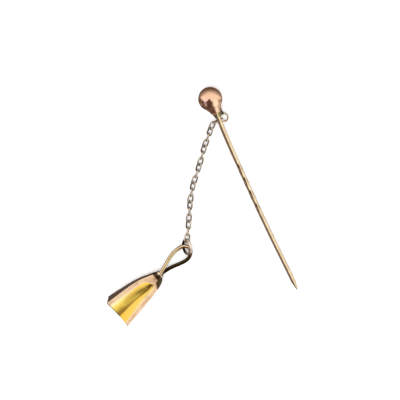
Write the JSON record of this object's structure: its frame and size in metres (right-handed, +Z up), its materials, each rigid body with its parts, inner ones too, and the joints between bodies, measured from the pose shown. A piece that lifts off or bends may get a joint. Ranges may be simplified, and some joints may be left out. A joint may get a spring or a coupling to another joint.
{
  "type": "tie pin",
  "caption": "Stick pin with a ball head and a twisted square shank; a fine chain joins its neck to a fluted drop on a wire bail.",
  "frame": {"origin": "centre of the bounding box, at its bottom, on the table that the pin lies on", "axes": "+Z up from the table; +Y along the longest extent, from the drop and the pin's point towards the ball head; +X towards the pin's point"},
  "size_m": [0.0518, 0.0674, 0.0084],
  "materials": {
    "rose_gold": "polished rose gold",
    "chain_gold": "worn pale gold wire",
    "drop_gold": "polished gold sheet, rose at the ridges and yellow in the folds"
  },
  "bodies": {
    "root": {"pin": "rose_gold", "link_end": "chain_gold", "link_01": "chain_gold", "link_02": "chain_gold", "link_03": "chain_gold", "link_04": "chain_gold", "link_05": "chain_gold", "link_06": "chain_gold", "link_07": "chain_gold", "link_08": "chain_gold", "link_09": "chain_gold", "link_10": "chain_gold", "link_11": "chain_gold", "link_12": "chain_gold", "link_13": "chain_gold", "link_14": "chain_gold", "link_15": "chain_gold", "link_16": "chain_gold", "link_17": "chain_gold", "link_18": "chain_gold", "link_19": "chain_gold", "jump_ring": "rose_gold", "drop": "drop_gold"}
  },
  "joints": []
}
